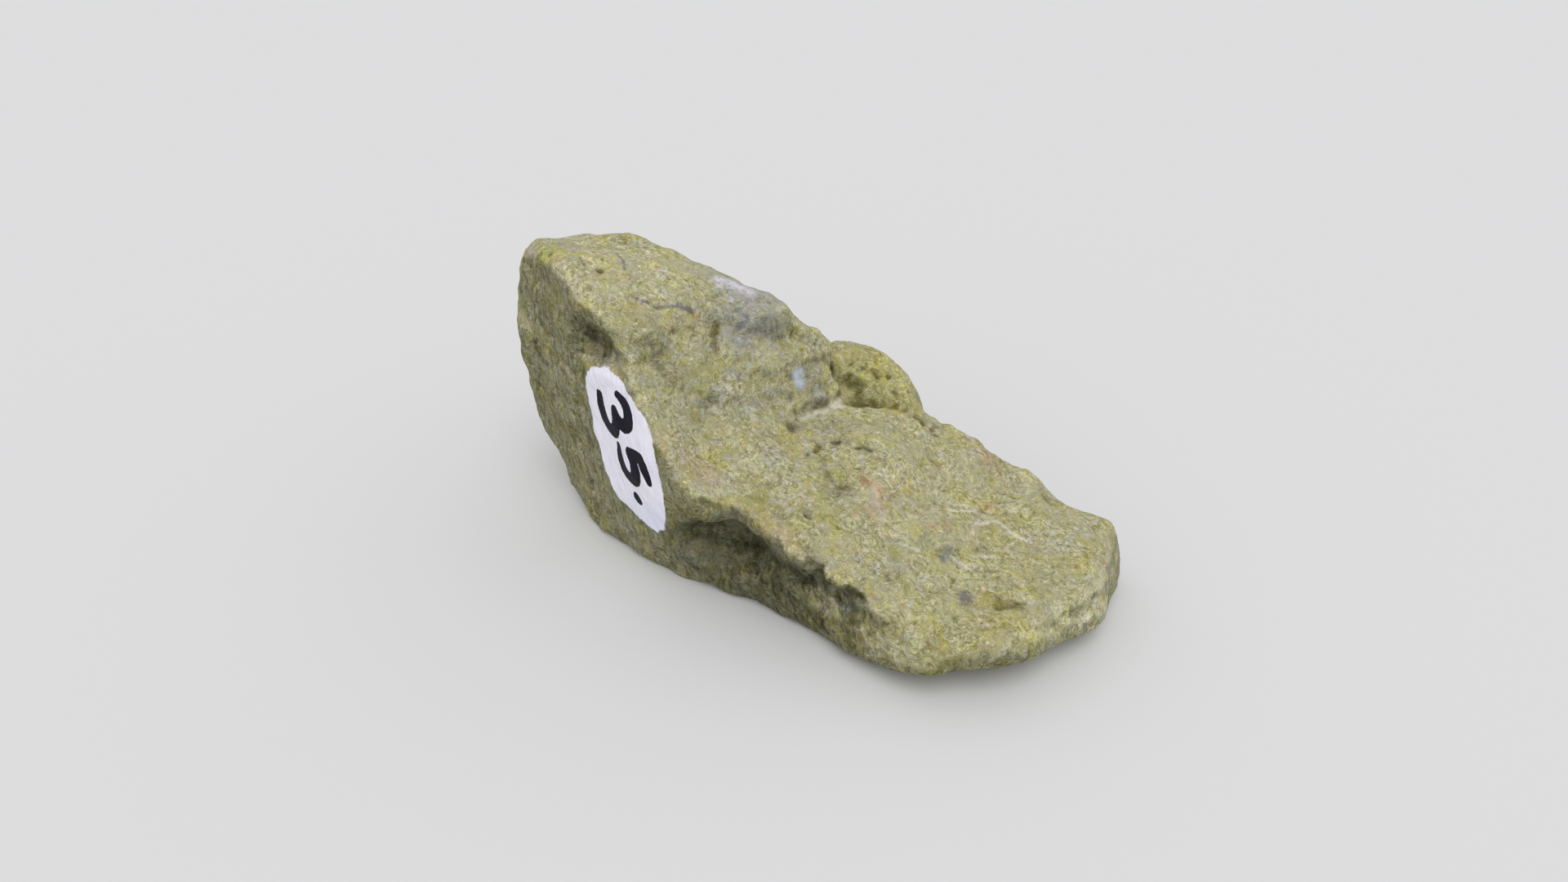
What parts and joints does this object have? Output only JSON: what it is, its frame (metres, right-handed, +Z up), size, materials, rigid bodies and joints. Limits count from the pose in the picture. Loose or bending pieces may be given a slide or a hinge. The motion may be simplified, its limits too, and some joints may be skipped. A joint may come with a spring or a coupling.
{
  "type": "olivine rock specimen",
  "caption": "Broken hand specimen of granular olivine rock: a tall head, a steep riser, a sloping ramp and a low toe, with a painted oval for a catalogue number.",
  "frame": {"origin": "on the surface the stone rests on, under the middle of its bounding box", "axes": "+X along the longest extent, from the tall head to the low toe; +Y away from the face with the painted oval; +Z up"},
  "size_m": [0.1092, 0.0548, 0.0542],
  "materials": {
    "olivine": "rough broken surface, dull, granular, with a small painted oval"
  },
  "bodies": {
    "root": {"stone": "olivine"}
  },
  "joints": []
}
